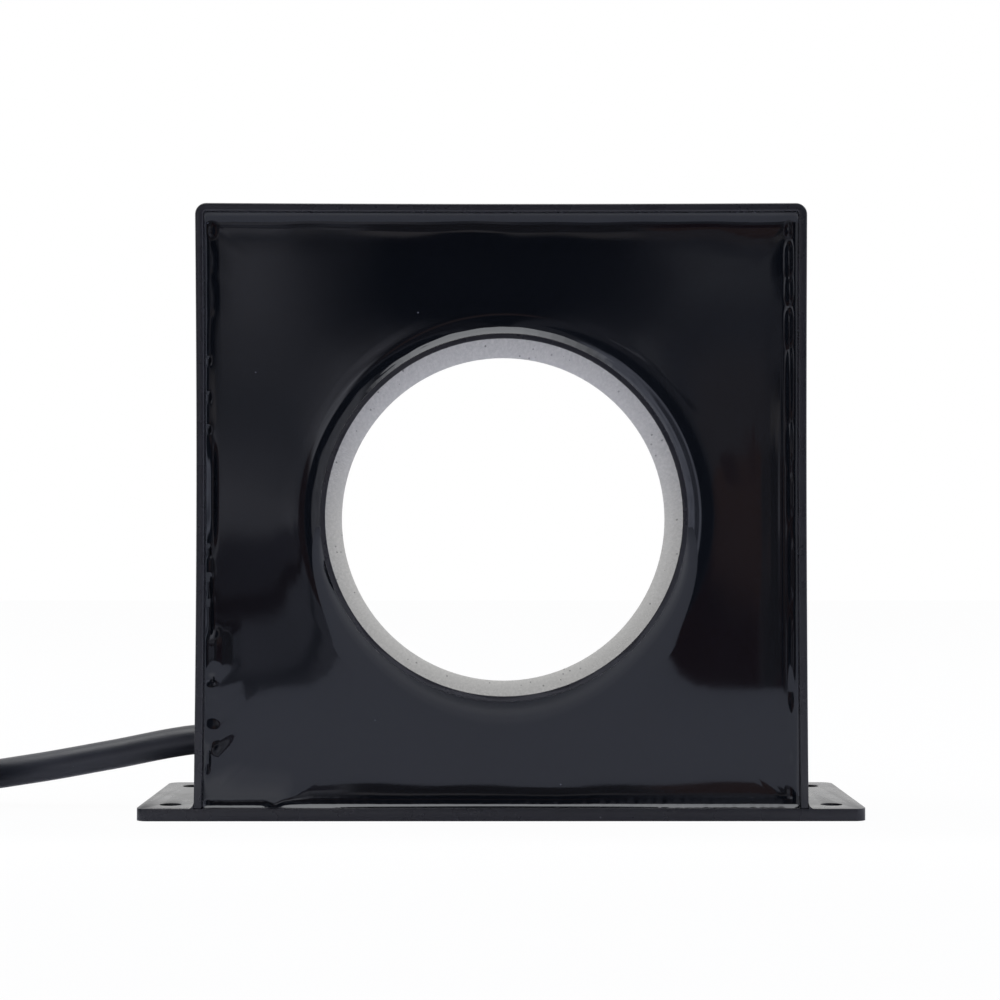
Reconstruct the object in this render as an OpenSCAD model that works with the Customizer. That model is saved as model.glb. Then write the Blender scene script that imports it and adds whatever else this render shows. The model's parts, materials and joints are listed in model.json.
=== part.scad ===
// Window current transformer: a welded steel box, open at the front, with a steel tube
// through it. A wound ring core sits round the tube and is cast in black resin, and a
// two-core lead leaves through a grommet in the left wall.
// Sizes are in millimetres. Z is up, the window runs along Y, the cast face looks to -Y.
// The origin is the middle of the base plate's underside.

/* [Housing] */
// Outside width of the box
housing_w = 150.6; // [140:0.2:190]
// Height of the whole transformer, base plate included
overall_h = 151.7; // [144:0.1:190]
// Depth of the box, from front rim to back rim
housing_d = 60; // [50:1:90]
// Thickness of the folded sheet and of the back plate
sheet_t = 2; // [1:0.1:3]
// Inside radius of the two folded top corners
fold_r = 0.8; // [0.5:0.1:1.2]
// How far the back plate sits inside the back rim
back_inset = 1.2; // [1.1:0.1:4]

/* [Base plate] */
// Thickness of the base plate
base_t = 3; // [2:0.1:5]
// How far the base plate stands out at each side
ear_w = 13.8; // [10:0.1:25]
// Radius of the base plate's corners
base_corner_r = 3; // [1:0.5:4]
// Diameter of the four fixing holes
hole_d = 5.5; // [3:0.1:7]
// Distance from a fixing hole's centre to the front or back edge
hole_edge = 9.3; // [7:0.1:18]

/* [Window] */
// Inside diameter of the window tube
window_d = 87.7; // [40:0.1:92]
// Wall of the window tube
tube_t = 1.4; // [1:0.1:3]
// Height of the window's axis above the underside
window_z = 74.4; // [70:0.1:80]
// Distance of the window's axis to the right of the middle
window_x = 0.7; // [-3:0.1:3]

/* [Welds] */
// Leg of the fillet welds between box and base plate
base_weld = 1.3; // [0.8:0.1:3]
// Leg of the welds on the back plate
back_weld = 1; // [0.6:0.1:1]

/* [Casting] */
// Depth of the cast face below the front rim
face_depth = 4; // [2:0.1:8]
// How far the resin's edge stays below the front rim
rim_free = 0.8; // [0.3:0.1:1.5]
// Width of the concave edge where the resin climbs the box
edge_w = 3.2; // [2:0.1:6]
// Width of the concave collar where the resin climbs the tube
collar_w = 8; // [4:0.5:11]
// Thickness of the resin film at the top of each climb
film_t = 0.4; // [0.4:0.1:0.8]

/* [Wound ring] */
// Gap between the window tube and the taped ring
ring_gap_tube = 1.2; // [0.5:0.1:4]
// Least gap between the taped ring and the box
ring_gap_box = 4; // [3:0.5:8]
// Resin over the front of the taped ring
ring_cover = 7; // [4:0.5:10]
// Thickness of the spacer pads behind the ring
pad_t = 4; // [2:0.5:6]
// Thickness of the binding tape
tape_t = 0.4; // [0.2:0.1:1]
// Build of the secondary winding
winding_t = 1.6; // [0.8:0.1:3]
// Thickness of the paper wraps inside and outside the core
wrap_t = 0.5; // [0.3:0.1:1]
// Thickness of the board rings on the core's two faces
end_ring_t = 1.5; // [1:0.1:3]
// Width of the opening left between the winding's start and finish
leadout_w = 12; // [9:0.5:16]

/* [Lead] */
// Diameter of the lead's sheath
lead_d = 7.6; // [6:0.1:9]
// Diameter of each insulated core
core_d = 2.8; // [2:0.1:3]
// Distance between the two cores' centres
core_pitch = 3.4; // [3.1:0.1:3.6]
// Height of the lead's exit above the underside
lead_z = 17.4; // [16:0.1:24]
// Length of sheath inside the box
lead_inside = 9; // [8:0.5:14]
// Diameter of the hole in the left wall
lead_hole_d = 11; // [10.5:0.1:13]
// How far the grommet stands out of the wall
grommet_out = 1.5; // [1:0.1:3]
// Length of a splice sleeve
splice_l = 10; // [7:0.5:12]
// Diameter of a splice sleeve
splice_d = 4.4; // [3.5:0.1:5]

/* [Coil] */
// Distance from one turn of the coiled lead to the next
turn_pitch = 7.7; // [7.7:0.1:8.2]
// Radius of the outer turns
turn_r = 45; // [42:0.5:52]
// Thickness of the two straps that hold the coil
strap_t = 1; // [1:0.1:1.5]
// Width of the two straps
strap_w = 6; // [4:0.5:10]
// Bare length of each core beyond the sheath's end
core_free = 20; // [14:1:26]

/* [Hidden] */
$fn = 96;

paint = [0.09, 0.09, 0.1];
resin = [0.04, 0.045, 0.06];
bare_steel = [0.66, 0.66, 0.67];
sheath_black = [0.07, 0.07, 0.08];
cut = 1;

// Box
front_y = -housing_d / 2;
back_y = housing_d / 2;
inner_w = housing_w - 2 * sheet_t;
inner_h = overall_h - sheet_t - base_t;
wall_x = -housing_w / 2;
inner_x = wall_x + sheet_t;
back_face_y = back_y - back_inset;
back_inner_y = back_face_y - sheet_t;
base_w = housing_w + 2 * ear_w;
hole_x = housing_w / 2 + ear_w / 2;
hole_y = housing_d / 2 - hole_edge;
tube_r = window_d / 2 + tube_t;

// Cast face
face_y = front_y + face_depth;
climb = face_depth - rim_free;
edge_r = 1.3 * max(edge_w, climb);
collar_r = 1.2 * (collar_w * collar_w + climb * climb) / (2 * min(collar_w, climb));

// Wound ring, from the tape inwards
room_r = min(window_z - base_t, overall_h - sheet_t - window_z, inner_w / 2 - abs(window_x));
tape_r1 = tube_r + ring_gap_tube;
tape_r2 = room_r - ring_gap_box;
tape_y1 = face_y + ring_cover;
tape_y2 = back_inner_y - pad_t;
wind_r1 = tape_r1 + tape_t;
wind_r2 = tape_r2 - tape_t;
wind_y1 = tape_y1 + tape_t;
wind_y2 = tape_y2 - tape_t;
// Width of a pad, and its height as a share of the ring's
pad_w = 10;
pad_share = 0.5;
// Clearance between the wire and the wrap under it
wrap_fit = 0.05;
wrap_r1 = wind_r1 + winding_t;
wrap_r2 = wind_r2 - winding_t;
board_y1 = wind_y1 + winding_t;
board_y2 = wind_y2 - winding_t;
core_r1 = wrap_r1 + wrap_t;
core_r2 = wrap_r2 - wrap_t;
core_y1 = board_y1 + end_ring_t;
core_y2 = board_y2 - end_ring_t;
ring_round = 1.2;

// Lead inside the box
lead_r = lead_d / 2;
sheath_x = inner_x + lead_inside;
splice_x = sheath_x + 4;
splice_y = core_pitch / 2 + 4;
wire_d = 1.2;
wire_r = wind_r2 - winding_t / 2;
leadout_a = atan2(lead_z - window_z, splice_x - window_x) + 360;
leadout_half = asin(leadout_w / 2 / wire_r);
wire_y = splice_y + splice_l / 2;
// Bends of the winding's ends: out along the winding, off the ring, in to the splice
wire_out = 3;
wire_clear = 2.5;
splice_in = 3;
splice_drop = 2;
// Bends of the lead's cores, short of the splice
core_straight = 1;
core_turn = 2;
flange_w = 1.5;
flange_in = 1.2;
tie_x = inner_x + flange_in + 1;
tie_w = 2.8;
tie_t = 1.1;
tie_head_w = 4;
tie_head_h = 2;
tie_head_over = 0.3;
tie_head_sunk = 1;

// Coil beside the transformer, on the same surface: two turns wide and two high
turn_z = strap_t + lead_r;
turn_in_r = turn_r - turn_pitch;
coil_x = -178;
coil_y = -18.5;
top_turn_span = [150, 88];
end_a = top_turn_span[0] + top_turn_span[1];
strap_angles = [100, 300];
strap_fit = 0.1;
collar_l = 6;
collar_d = 3.2;
pin_l = 8;
pin_d = 1.9;

// Way of the lead in plan: straight out, round one bend, then along the coil's outer turn
exit_x = wall_x - grommet_out;
join_a = 47;
join_r = (coil_y + turn_r * sin(join_a)) / (1 - sin(join_a));
join_x = coil_x + (turn_r + join_r) * cos(join_a);
join_run = join_r * (90 - join_a) * PI / 180;
function plan(s) =
    s < exit_x - join_x ? [exit_x - s, 0] :
    let(on = s - exit_x + join_x)
    on < join_run ? [join_x - join_r * sin(on * 180 / PI / join_r),
                     join_r * (1 - cos(on * 180 / PI / join_r))] :
    [coil_x, coil_y] + turn_r * [cos(coil_angle(on)), sin(coil_angle(on))];
function coil_angle(on) = join_a + (on - join_run) * 180 / PI / turn_r;

// Share of the lead's height that is left at each distance along it
lead_fall = [
    [0, 1], [3, 0.984], [6.5, 0.944], [10.5, 0.889], [15.5, 0.81], [21.5, 0.714],
    [27.5, 0.627], [33.5, 0.54], [40.5, 0.441], [46.6, 0.361], [53, 0.275], [59, 0.198],
    [66, 0.125], [73, 0.069], [80, 0.029], [87, 0.006], [93, 0]
];
lead_end_a = coil_angle(lead_fall[len(lead_fall) - 1][0] - exit_x + join_x);
// Angles and height of the place left in the coil for the lead
way_in = [-30, lead_end_a];
way_in_h = 12.1;

// Centre line of the lead between the grommet and the coil
lead_route = [for (f = lead_fall)
    [plan(f[0])[0], plan(f[0])[1], turn_z + (lead_z - turn_z) * f[1]]];
lead_sides = 12;

// ---------- shared shapes ----------

// Corner filled up to a concave arc that cuts both legs, w along x and h along y
module concave_corner(w, h, r) {
    chord = norm([w, h]);
    reach = sqrt(r * r - chord * chord / 4);
    difference() {
        square([w, h]);
        translate([w / 2 + reach * h / chord, h / 2 + reach * w / chord]) circle(r);
    }
}

// Upright outline with square feet and two round top corners
module box_outline(w, h, r) {
    translate([-w / 2, 0]) square([w, h - r]);
    translate([-w / 2 + r, 0]) square([w - 2 * r, h]);
    for (s = [-1, 1]) translate([s * (w / 2 - r), h - r]) circle(r);
}

module round_rect(w, h, r) {
    square([w, h - 2 * r], center = true);
    square([w - 2 * r, h], center = true);
    for (sx = [-1, 1], sy = [-1, 1])
        translate([sx * (w / 2 - r), sy * (h / 2 - r)]) circle(r);
}

// Slab of an outline that stands on the base plate, from y1 to y2
module upright(y1, y2) {
    translate([0, y2, base_t]) rotate([90, 0, 0]) linear_extrude(y2 - y1) children();
}

// Turned shape about the window's axis. The profile's x is the radius and its y is Y.
module about_window(from = 0, sweep = 360) {
    translate([window_x, 0, window_z]) rotate([-90, 0, 0])
        rotate([0, 0, -from - sweep]) rotate_extrude(angle = sweep) children();
}

module window_cylinder(r, y1, y2) {
    translate([window_x, y2, window_z]) rotate([90, 0, 0]) cylinder(r = r, h = y2 - y1);
}

// Space over a sheet of resin or weld: flat floor at d = 0, edges that climb to height h
module dish_section(half, w, h, r) {
    difference() {
        translate([-half, 0]) square([2 * half, h + cut]);
        translate([-half, 0]) concave_corner(w, h, r);
        mirror([1, 0]) translate([-half, 0]) concave_corner(w, h, r);
    }
}

// The same space inside the box, opening towards +d from the plane d = 0
module dish(w, h, r, film) {
    intersection() {
        translate([0, 0, base_t]) linear_extrude(inner_h)
            dish_section(inner_w / 2 - film, w, h, r);
        translate([0, 0, base_t + inner_h / 2]) rotate([0, -90, 0])
            linear_extrude(inner_w, center = true)
                dish_section(inner_h / 2 - film, w, h, r);
    }
}

// Direction of a route at point i, square to its end faces where those are given
function way_at(p, i, first, last) =
    i == 0 ? first : i == len(p) - 1 ? last :
    let(a = (p[i] - p[i - 1]) / norm(p[i] - p[i - 1]), b = (p[i + 1] - p[i]) / norm(p[i + 1] - p[i]))
    (a + b) / norm(a + b);

// Part of v that is square to the direction w, one unit long
function square_to(v, w) = let(u = v - (v * w) * w) u / norm(u);

// Cord swept along a route, with first and last the directions at its two flat ends
module swept(p, d, sides, first, last, up) {
    n = sides;
    rings = len(p);
    ways = [for (i = [0 : rings - 1]) way_at(p, i, first, last)];
    ups = [for (i = 0, u = square_to(up, ways[0]); i < rings;
        i = i + 1, u = i < rings ? square_to(u, ways[i]) : u) u];
    points = [for (i = [0 : rings - 1], k = [0 : n - 1])
        let(side = cross(ways[i], ups[i]), a = 360 * (k + 0.5) / n)
        p[i] + d / 2 * (cos(a) * side + sin(a) * ups[i])];
    walls = [for (i = [0 : rings - 2], k = [0 : n - 1])
        [i * n + k, i * n + (k + 1) % n, (i + 1) * n + (k + 1) % n, (i + 1) * n + k]];
    near_end = [for (k = [n - 1 : -1 : 0]) k];
    far_end = [for (k = [0 : n - 1]) (rings - 1) * n + k];
    polyhedron(points, concat(walls, [near_end, far_end]));
}

// ---------- steelwork ----------

module housing_wrapper() {
    color(paint) difference() {
        upright(front_y, back_y) difference() {
            box_outline(housing_w, inner_h + sheet_t, fold_r + sheet_t);
            translate([0, -cut]) box_outline(inner_w, inner_h + cut, fold_r);
        }
        translate([wall_x - cut, 0, lead_z]) rotate([0, 90, 0])
            cylinder(d = lead_hole_d, h = sheet_t + 2 * cut);
    }
}

module back_plate() {
    color(paint) difference() {
        upright(back_inner_y, back_face_y) box_outline(inner_w, inner_h, fold_r);
        window_cylinder(tube_r, back_inner_y - cut, back_face_y + cut);
    }
}

module base_plate() {
    color(paint) linear_extrude(base_t) difference() {
        round_rect(base_w, housing_d, base_corner_r);
        for (sx = [-1, 1], sy = [-1, 1])
            translate([sx * hole_x, sy * hole_y]) circle(d = hole_d);
    }
}

module window_tube() {
    color(bare_steel) difference() {
        window_cylinder(tube_r, front_y, back_y);
        window_cylinder(window_d / 2, front_y - cut, back_y + cut);
    }
}

module base_weld_bead(side) {
    color(paint) mirror([side < 0 ? 1 : 0, 0, 0])
        translate([housing_w / 2, back_y, base_t]) rotate([90, 0, 0])
            linear_extrude(housing_d) concave_corner(base_weld, base_weld, 1.3 * base_weld);
}

// Seam round the back plate, in the corner between the plate and the box
module back_seam_weld() {
    film = 0.15;
    leg = back_weld - film;
    color(paint) difference() {
        upright(back_face_y, back_face_y + leg) box_outline(inner_w, inner_h, fold_r);
        translate([0, back_face_y, 0]) dish(leg, leg, 1.3 * leg, film);
        window_cylinder(tube_r + back_weld, back_face_y - cut, back_y + cut);
    }
}

module tube_weld() {
    crown = 0.58 * back_weld;
    color(paint) about_window() translate([tube_r, back_face_y])
        polygon([[0, 0], [back_weld, 0], [crown, crown], [0, back_weld]]);
}

// ---------- wound ring ----------

module ring_section(r1, r2, y1, y2) {
    translate([r1, y1]) square([r2 - r1, y2 - y1]);
}

module round_ring_section(r1, r2, y1, y2, r) {
    translate([(r1 + r2) / 2, (y1 + y2) / 2]) round_rect(r2 - r1, y2 - y1, r);
}

module strip_core() {
    color("dimgray") about_window() ring_section(core_r1, core_r2, core_y1, core_y2);
}

module core_inner_wrap() {
    color("peru") about_window() ring_section(wrap_r1, core_r1, core_y1, core_y2);
}

module core_outer_wrap() {
    color("peru") about_window() ring_section(core_r2, wrap_r2, core_y1, core_y2);
}

module end_ring(y1) {
    color("tan") about_window() ring_section(wrap_r1, wrap_r2, y1, y1 + end_ring_t);
}

// Wire bundle wound round the core, open at the lead-out
module secondary_winding() {
    color("darkgoldenrod") about_window(leadout_a + leadout_half, 360 - 2 * leadout_half)
        difference() {
            round_ring_section(wind_r1, wind_r2, wind_y1, wind_y2, ring_round);
            ring_section(wrap_r1 - wrap_fit, wrap_r2 + wrap_fit, board_y1, board_y2);
        }
}

module binding_tape() {
    color("khaki") about_window(leadout_a + leadout_half, 360 - 2 * leadout_half)
        difference() {
            round_ring_section(tape_r1, tape_r2, tape_y1, tape_y2, ring_round + tape_t);
            round_ring_section(wind_r1, wind_r2, wind_y1, wind_y2, ring_round);
        }
}

// Space that the ring takes up in the resin
module ring_space() {
    about_window(leadout_a + leadout_half, 360 - 2 * leadout_half)
        round_ring_section(tape_r1, tape_r2, tape_y1, tape_y2, ring_round + tape_t);
    about_window() ring_section(wrap_r1, wrap_r2, board_y1, board_y2);
}

// Pads that hold the ring off the back plate while the resin sets
module spacer_pads() {
    pad_h = (tape_r2 - tape_r1) * pad_share;
    color("burlywood") for (a = [45 : 90 : 315])
        translate([window_x, tape_y2, window_z]) rotate([0, a, 0])
            translate([(tape_r1 + tape_r2) / 2 - pad_h / 2, 0, -pad_w / 2])
                cube([pad_h, pad_t, pad_w]);
}

// ---------- lead inside the box ----------

// Out of the winding's open end, off the ring and down to the splice.
// side is -1 for the winding's start and 1 for its finish. over lengthens both ends.
module winding_lead(side, over = 0) {
    a = leadout_a + side * leadout_half;
    along = side * [sin(a), 0, -cos(a)];
    out = [cos(leadout_a), 0, sin(leadout_a)];
    foot = [window_x + wire_r * cos(a), side * wire_y, window_z + wire_r * sin(a)];
    bend = foot + wire_out * along;
    route = [
        foot - over * along,
        bend,
        bend + (tape_r2 - wire_r + wire_clear) * out,
        [splice_x, side * (splice_y + splice_l + splice_in), lead_z + splice_drop],
        [splice_x, side * (splice_y + splice_l - over), lead_z]
    ];
    color("goldenrod") swept(route, wire_d, 8, along, [0, -side, 0], [0, 1, 0.1]);
}

module splice(side) {
    color("crimson") translate([splice_x, side * splice_y, lead_z])
        rotate([-90 * side, 0, 0]) cylinder(d = splice_d, h = splice_l, $fn = 32);
}

module inner_core(side, over = 0) {
    route = [
        [sheath_x - over, side * core_pitch / 2, lead_z],
        [splice_x - core_straight, side * core_pitch / 2, lead_z],
        [splice_x, side * (splice_y - core_turn), lead_z],
        [splice_x, side * (splice_y + over), lead_z]
    ];
    color(side < 0 ? "saddlebrown" : "royalblue")
        swept(route, core_d, 8, [1, 0, 0], [0, side, 0], [0, 0, 1]);
}

module sheath_end() {
    color(sheath_black) translate([wall_x - grommet_out, 0, lead_z]) rotate([0, 90, 0])
        cylinder(r = lead_r, h = sheath_x - wall_x + grommet_out);
}

module tie_body() {
    translate([tie_x, 0, lead_z]) {
        rotate([0, 90, 0]) cylinder(r = lead_r + tie_t, h = tie_w);
        translate([-tie_head_over, -tie_head_w / 2, lead_r - tie_head_sunk])
            cube([tie_w + 2 * tie_head_over, tie_head_w, tie_head_sunk + tie_t + tie_head_h]);
    }
}

// Tie pulled tight round the sheath, so that the lead can't be drawn out
module inner_tie() {
    color("whitesmoke") difference() {
        tie_body();
        translate([tie_x - cut, 0, lead_z]) rotate([0, 90, 0])
            cylinder(r = lead_r, h = tie_w + 2 * cut);
    }
}

module grommet_body() {
    rotate([0, 90, 0]) {
        translate([0, 0, -grommet_out])
            cylinder(d = lead_hole_d + 2 * flange_w, h = grommet_out);
        cylinder(d = lead_hole_d, h = sheet_t);
        translate([0, 0, sheet_t]) cylinder(d = lead_hole_d + 2 * flange_w, h = flange_in);
    }
}

module lead_grommet() {
    color(sheath_black) translate([wall_x, 0, lead_z]) difference() {
        grommet_body();
        translate([-grommet_out - cut, 0, 0]) rotate([0, 90, 0])
            cylinder(r = lead_r, h = grommet_out + sheet_t + flange_in + 2 * cut);
    }
}

// Everything of the lead that the resin closes round. Its pieces overlap here, so that
// they leave one space with no skin between them.
module lead_space() {
    over = 0.4;
    for (side = [-1, 1]) {
        winding_lead(side, over);
        splice(side);
        inner_core(side, over);
    }
    translate([inner_x - cut, 0, lead_z]) rotate([0, 90, 0]) {
        cylinder(r = lead_r, h = lead_inside + cut);
        cylinder(d = lead_hole_d + 2 * flange_w, h = flange_in + cut);
    }
    tie_body();
}

// ---------- casting ----------

// Concave collar of resin up the outside of the tube
module collar() {
    about_window() mirror([0, 1]) translate([tube_r - cut, -face_y - cut]) {
        square([cut + film_t, climb + cut]);
        translate([cut + film_t - 0.01, 0]) square([collar_w + 0.01, cut]);
        translate([cut + film_t - 0.01, cut - 0.01])
            concave_corner(collar_w + 0.01, climb + 0.01, collar_r);
    }
}

// Black resin that fills the box from the front, flat but for its climbing edges
module potting_resin() {
    color(resin) difference() {
        upright(face_y - climb, back_inner_y) box_outline(inner_w, inner_h, fold_r);
        difference() {
            translate([0, face_y, 0]) mirror([0, 1, 0]) dish(edge_w, climb, edge_r, film_t);
            collar();
        }
        window_cylinder(tube_r, front_y - cut, back_y + cut);
        ring_space();
        spacer_pads();
        lead_space();
    }
}

// ---------- lead outside the box ----------

module lead_cable() {
    color(sheath_black) swept(lead_route, lead_d, lead_sides, [-1, 0, 0],
        [-sin(lead_end_a), cos(lead_end_a), 0], [0, 0, 1]);
}

module lead_coil() {
    color(sheath_black) translate([coil_x, coil_y, 0]) difference() {
        union() {
            rotate_extrude() {
                for (r = [turn_in_r, turn_r], row = [0, 1])
                    translate([r, turn_z + row * turn_pitch]) circle(lead_r, $fn = 48);
                translate([turn_in_r, turn_z]) square(turn_pitch);
            }
            // Last turn, on the others, and the web that carries it
            rotate([0, 0, top_turn_span[0]]) rotate_extrude(angle = top_turn_span[1]) {
                translate([turn_r, turn_z + 2 * turn_pitch]) circle(lead_r, $fn = 48);
                translate([turn_r - lead_r / 2, turn_z + turn_pitch])
                    square([lead_r, turn_pitch]);
            }
        }
        // Way in for the lead, which ends against the first turn
        rotate([0, 0, way_in[0]]) rotate_extrude(angle = way_in[1] - way_in[0])
            translate([turn_r - turn_pitch / 2, -cut]) square([turn_pitch + cut, way_in_h + cut]);
    }
}

module coil_strap(a) {
    w = turn_pitch + lead_d + 2 * strap_fit;
    h = turn_pitch + lead_d + strap_fit;
    color("black") translate([coil_x, coil_y, 0]) rotate([0, 0, a])
        translate([turn_in_r + turn_pitch / 2, strap_w / 2, strap_t + h / 2])
            rotate([90, 0, 0]) linear_extrude(strap_w) difference() {
                round_rect(w + 2 * strap_t, h + 2 * strap_t, strap_t + 0.5);
                round_rect(w, h, 0.5);
            }
}

// side is -1 for the core nearer the coil's middle and 1 for the outer one
module free_core(side) {
    sweep = core_free / turn_r * 180 / PI;
    color(side < 0 ? "saddlebrown" : "royalblue") translate([coil_x, coil_y, 0])
        rotate([0, 0, end_a]) rotate_extrude(angle = sweep)
            translate([turn_r + side * core_pitch / 2, turn_z + 2 * turn_pitch])
                circle(d = core_d, $fn = 32);
}

module ferrule(side) {
    sweep = core_free / turn_r * 180 / PI;
    color("silver") translate([coil_x, coil_y, turn_z + 2 * turn_pitch])
        rotate([0, 0, end_a + sweep])
            translate([turn_r + side * core_pitch / 2, 0, 0]) rotate([-90, 0, 0]) {
                cylinder(d = collar_d, h = collar_l, $fn = 32);
                translate([0, 0, collar_l]) cylinder(d = pin_d, h = pin_l, $fn = 32);
            }
}

housing_wrapper();
back_plate();
base_plate();
window_tube();
base_weld_bead(-1);  // base_weld_left
base_weld_bead(1);  // base_weld_right
back_seam_weld();
tube_weld();
potting_resin();
strip_core();
core_inner_wrap();
core_outer_wrap();
end_ring(board_y1);  // end_ring_front
end_ring(core_y2);  // end_ring_back
secondary_winding();
binding_tape();
spacer_pads();
winding_lead(-1);  // start_lead
winding_lead(1);  // finish_lead
splice(-1);  // start_splice
splice(1);  // finish_splice
inner_core(-1);  // start_core
inner_core(1);  // finish_core
sheath_end();
inner_tie();
lead_grommet();
lead_cable();
lead_coil();
coil_strap(strap_angles[0]);  // coil_strap_left
coil_strap(strap_angles[1]);  // coil_strap_right
free_core(-1);  // free_core_a
free_core(1);  // free_core_b
ferrule(-1);  // ferrule_a
ferrule(1);  // ferrule_b
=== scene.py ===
"""Window current transformer: finishes, cast face, lead and studio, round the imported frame."""
import json
import math

import bpy
import numpy as np
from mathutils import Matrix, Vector


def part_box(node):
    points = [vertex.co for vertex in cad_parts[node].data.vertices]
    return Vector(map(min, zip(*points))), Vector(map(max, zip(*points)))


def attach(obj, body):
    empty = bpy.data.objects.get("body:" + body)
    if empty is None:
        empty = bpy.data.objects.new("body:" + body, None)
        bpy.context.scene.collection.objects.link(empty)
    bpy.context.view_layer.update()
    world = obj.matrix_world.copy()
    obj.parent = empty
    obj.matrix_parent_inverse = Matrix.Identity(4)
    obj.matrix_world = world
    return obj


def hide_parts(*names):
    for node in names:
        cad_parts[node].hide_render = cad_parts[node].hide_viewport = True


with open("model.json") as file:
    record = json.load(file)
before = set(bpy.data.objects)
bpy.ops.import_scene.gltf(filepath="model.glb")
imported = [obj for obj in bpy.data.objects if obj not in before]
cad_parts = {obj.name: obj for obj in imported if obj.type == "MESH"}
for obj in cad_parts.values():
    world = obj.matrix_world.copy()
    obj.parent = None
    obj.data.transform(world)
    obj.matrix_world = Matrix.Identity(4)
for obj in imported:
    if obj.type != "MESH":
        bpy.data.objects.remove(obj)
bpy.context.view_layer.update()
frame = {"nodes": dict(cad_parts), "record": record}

MM = 0.001
MERGE = 0.002 * MM  # points nearer than this are one point

# ---------- places taken from the frame ----------

box_lo, box_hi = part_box("housing_wrapper")
plate_lo, plate_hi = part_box("base_plate")
tube_lo, tube_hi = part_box("window_tube")
resin_lo, resin_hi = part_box("potting_resin")
window_x = (tube_lo[0] + tube_hi[0]) / 2
window_z = (tube_lo[2] + tube_hi[2]) / 2
tube_r = (tube_hi[0] - tube_lo[0]) / 2
front_y = box_lo[1]

# ---------- camera ----------

CAMERA_PLACE = (-1.4 * MM, front_y - 546.5 * MM, 69.27 * MM)
CAMERA_TILT = math.radians(90.979)
CAMERA_PAN = math.radians(-0.116)
# Focal length and sensor width in millimetres
CAMERA_LENS, CAMERA_SENSOR = 80.24, 36


def make_camera():
    """Long lens, a little below the window's axis and looking up a degree."""
    data = bpy.data.cameras.new("camera")
    data.sensor_width = CAMERA_SENSOR
    data.lens = CAMERA_LENS
    data.clip_start = 0.05
    data.clip_end = 20
    camera = bpy.data.objects.new("camera", data)
    bpy.context.scene.collection.objects.link(camera)
    camera.location = CAMERA_PLACE
    camera.rotation_euler = (CAMERA_TILT, 0, CAMERA_PAN)
    bpy.context.scene.camera = camera


make_camera()

# ---------- making by hand ----------


def ease(t):
    """Smooth step from 0 to 1."""
    return t * t * (3 - 2 * t)


def deselect_all():
    """Leaves edit mode, with nothing selected."""
    if bpy.context.object and bpy.context.object.mode != "OBJECT":
        bpy.ops.object.mode_set(mode="OBJECT")
    bpy.ops.object.select_all(action="DESELECT")


def make_active(piece):
    """Selects one piece, for the operators that follow."""
    deselect_all()
    piece.select_set(True)
    bpy.context.view_layer.objects.active = piece


def apply_modifiers(piece):
    """Turns the piece's modifiers into mesh."""
    make_active(piece)
    for modifier in list(piece.modifiers):
        bpy.ops.object.modifier_apply(modifier=modifier.name)


def settle(piece):
    """Puts the piece's place into its mesh."""
    make_active(piece)
    bpy.ops.object.transform_apply(location=True, rotation=True, scale=True)


def smooth(piece, degrees=35):
    """Shades the piece smooth, but for edges sharper than the angle."""
    make_active(piece)
    bpy.ops.object.shade_smooth_by_angle(angle=math.radians(degrees))


def dress(piece, material):
    """Gives a finished piece its material, and lets it ride with the transformer."""
    piece.data.materials.clear()
    piece.data.materials.append(material)
    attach(piece, "root")


def softened_copy(node, name, radius):
    """Copy of a hard-edged node with its edges rounded, which stands for it."""
    source = frame["nodes"][node]
    piece = bpy.data.objects.new(name, source.data.copy())
    bpy.context.scene.collection.objects.link(piece)
    make_active(piece)
    bpy.ops.object.mode_set(mode="EDIT")
    bpy.ops.mesh.select_all(action="SELECT")
    bpy.ops.mesh.remove_doubles(threshold=MERGE)
    bpy.ops.mesh.dissolve_limited(angle_limit=math.radians(0.5))
    bpy.ops.object.mode_set(mode="OBJECT")
    bevel = piece.modifiers.new("rounding", "BEVEL")
    bevel.width = radius
    bevel.segments = 3
    bevel.limit_method = "ANGLE"
    bevel.angle_limit = math.radians(40)
    bevel.use_clamp_overlap = True
    apply_modifiers(piece)
    smooth(piece)
    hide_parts(node)
    return piece


# ---------- lead ----------

LEAD_D = 7.6 * MM
# Where the lead leaves the grommet
EXIT = (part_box("lead_grommet")[0][0], 0, 17.4 * MM)
# Coil: middle of its circle, radius of its outer turns and distance between turns
COIL_X, COIL_Y, COIL_Z = -178 * MM, -18.5 * MM, 4.8 * MM
TURN_R = 45 * MM
TURN_PITCH = 7.7 * MM
# Angle where the lead joins the coil's circle, and how high a turn humps to pass over it
JOIN = math.radians(47)
HUMP = 2.2 * MM
# Degrees from one point of the coil to the next
COIL_STEP = 12

# Share of the lead's height that is left at each distance along it in millimetres
LEAD_FALL = [
    (0, 1), (3, 0.984), (6.5, 0.944), (10.5, 0.889), (15.5, 0.81), (21.5, 0.714),
    (27.5, 0.627), (33.5, 0.54), (40.5, 0.441), (46.6, 0.361), (53, 0.275), (59, 0.198),
    (66, 0.125), (73, 0.069), (80, 0.029), (87, 0.006), (93, 0),
]

# Each stage of the coil: the angle in degrees that it runs to, the column (1 outside) and the
# layer it ends in, and whether it humps over the lead on its way
COIL_STAGES = [
    (300, 1, 0, False), (360, 0, 0, False), (580, 0, 0, False), (660, 0, 1, False),
    (860, 0, 1, False), (940, 1, 1, False), (1060, 1, 1, False), (1170, 1, 1, True),
    (1190, 1, 1, False), (1270, 1, 2, False), (1318, 1, 2, False),
]


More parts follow.
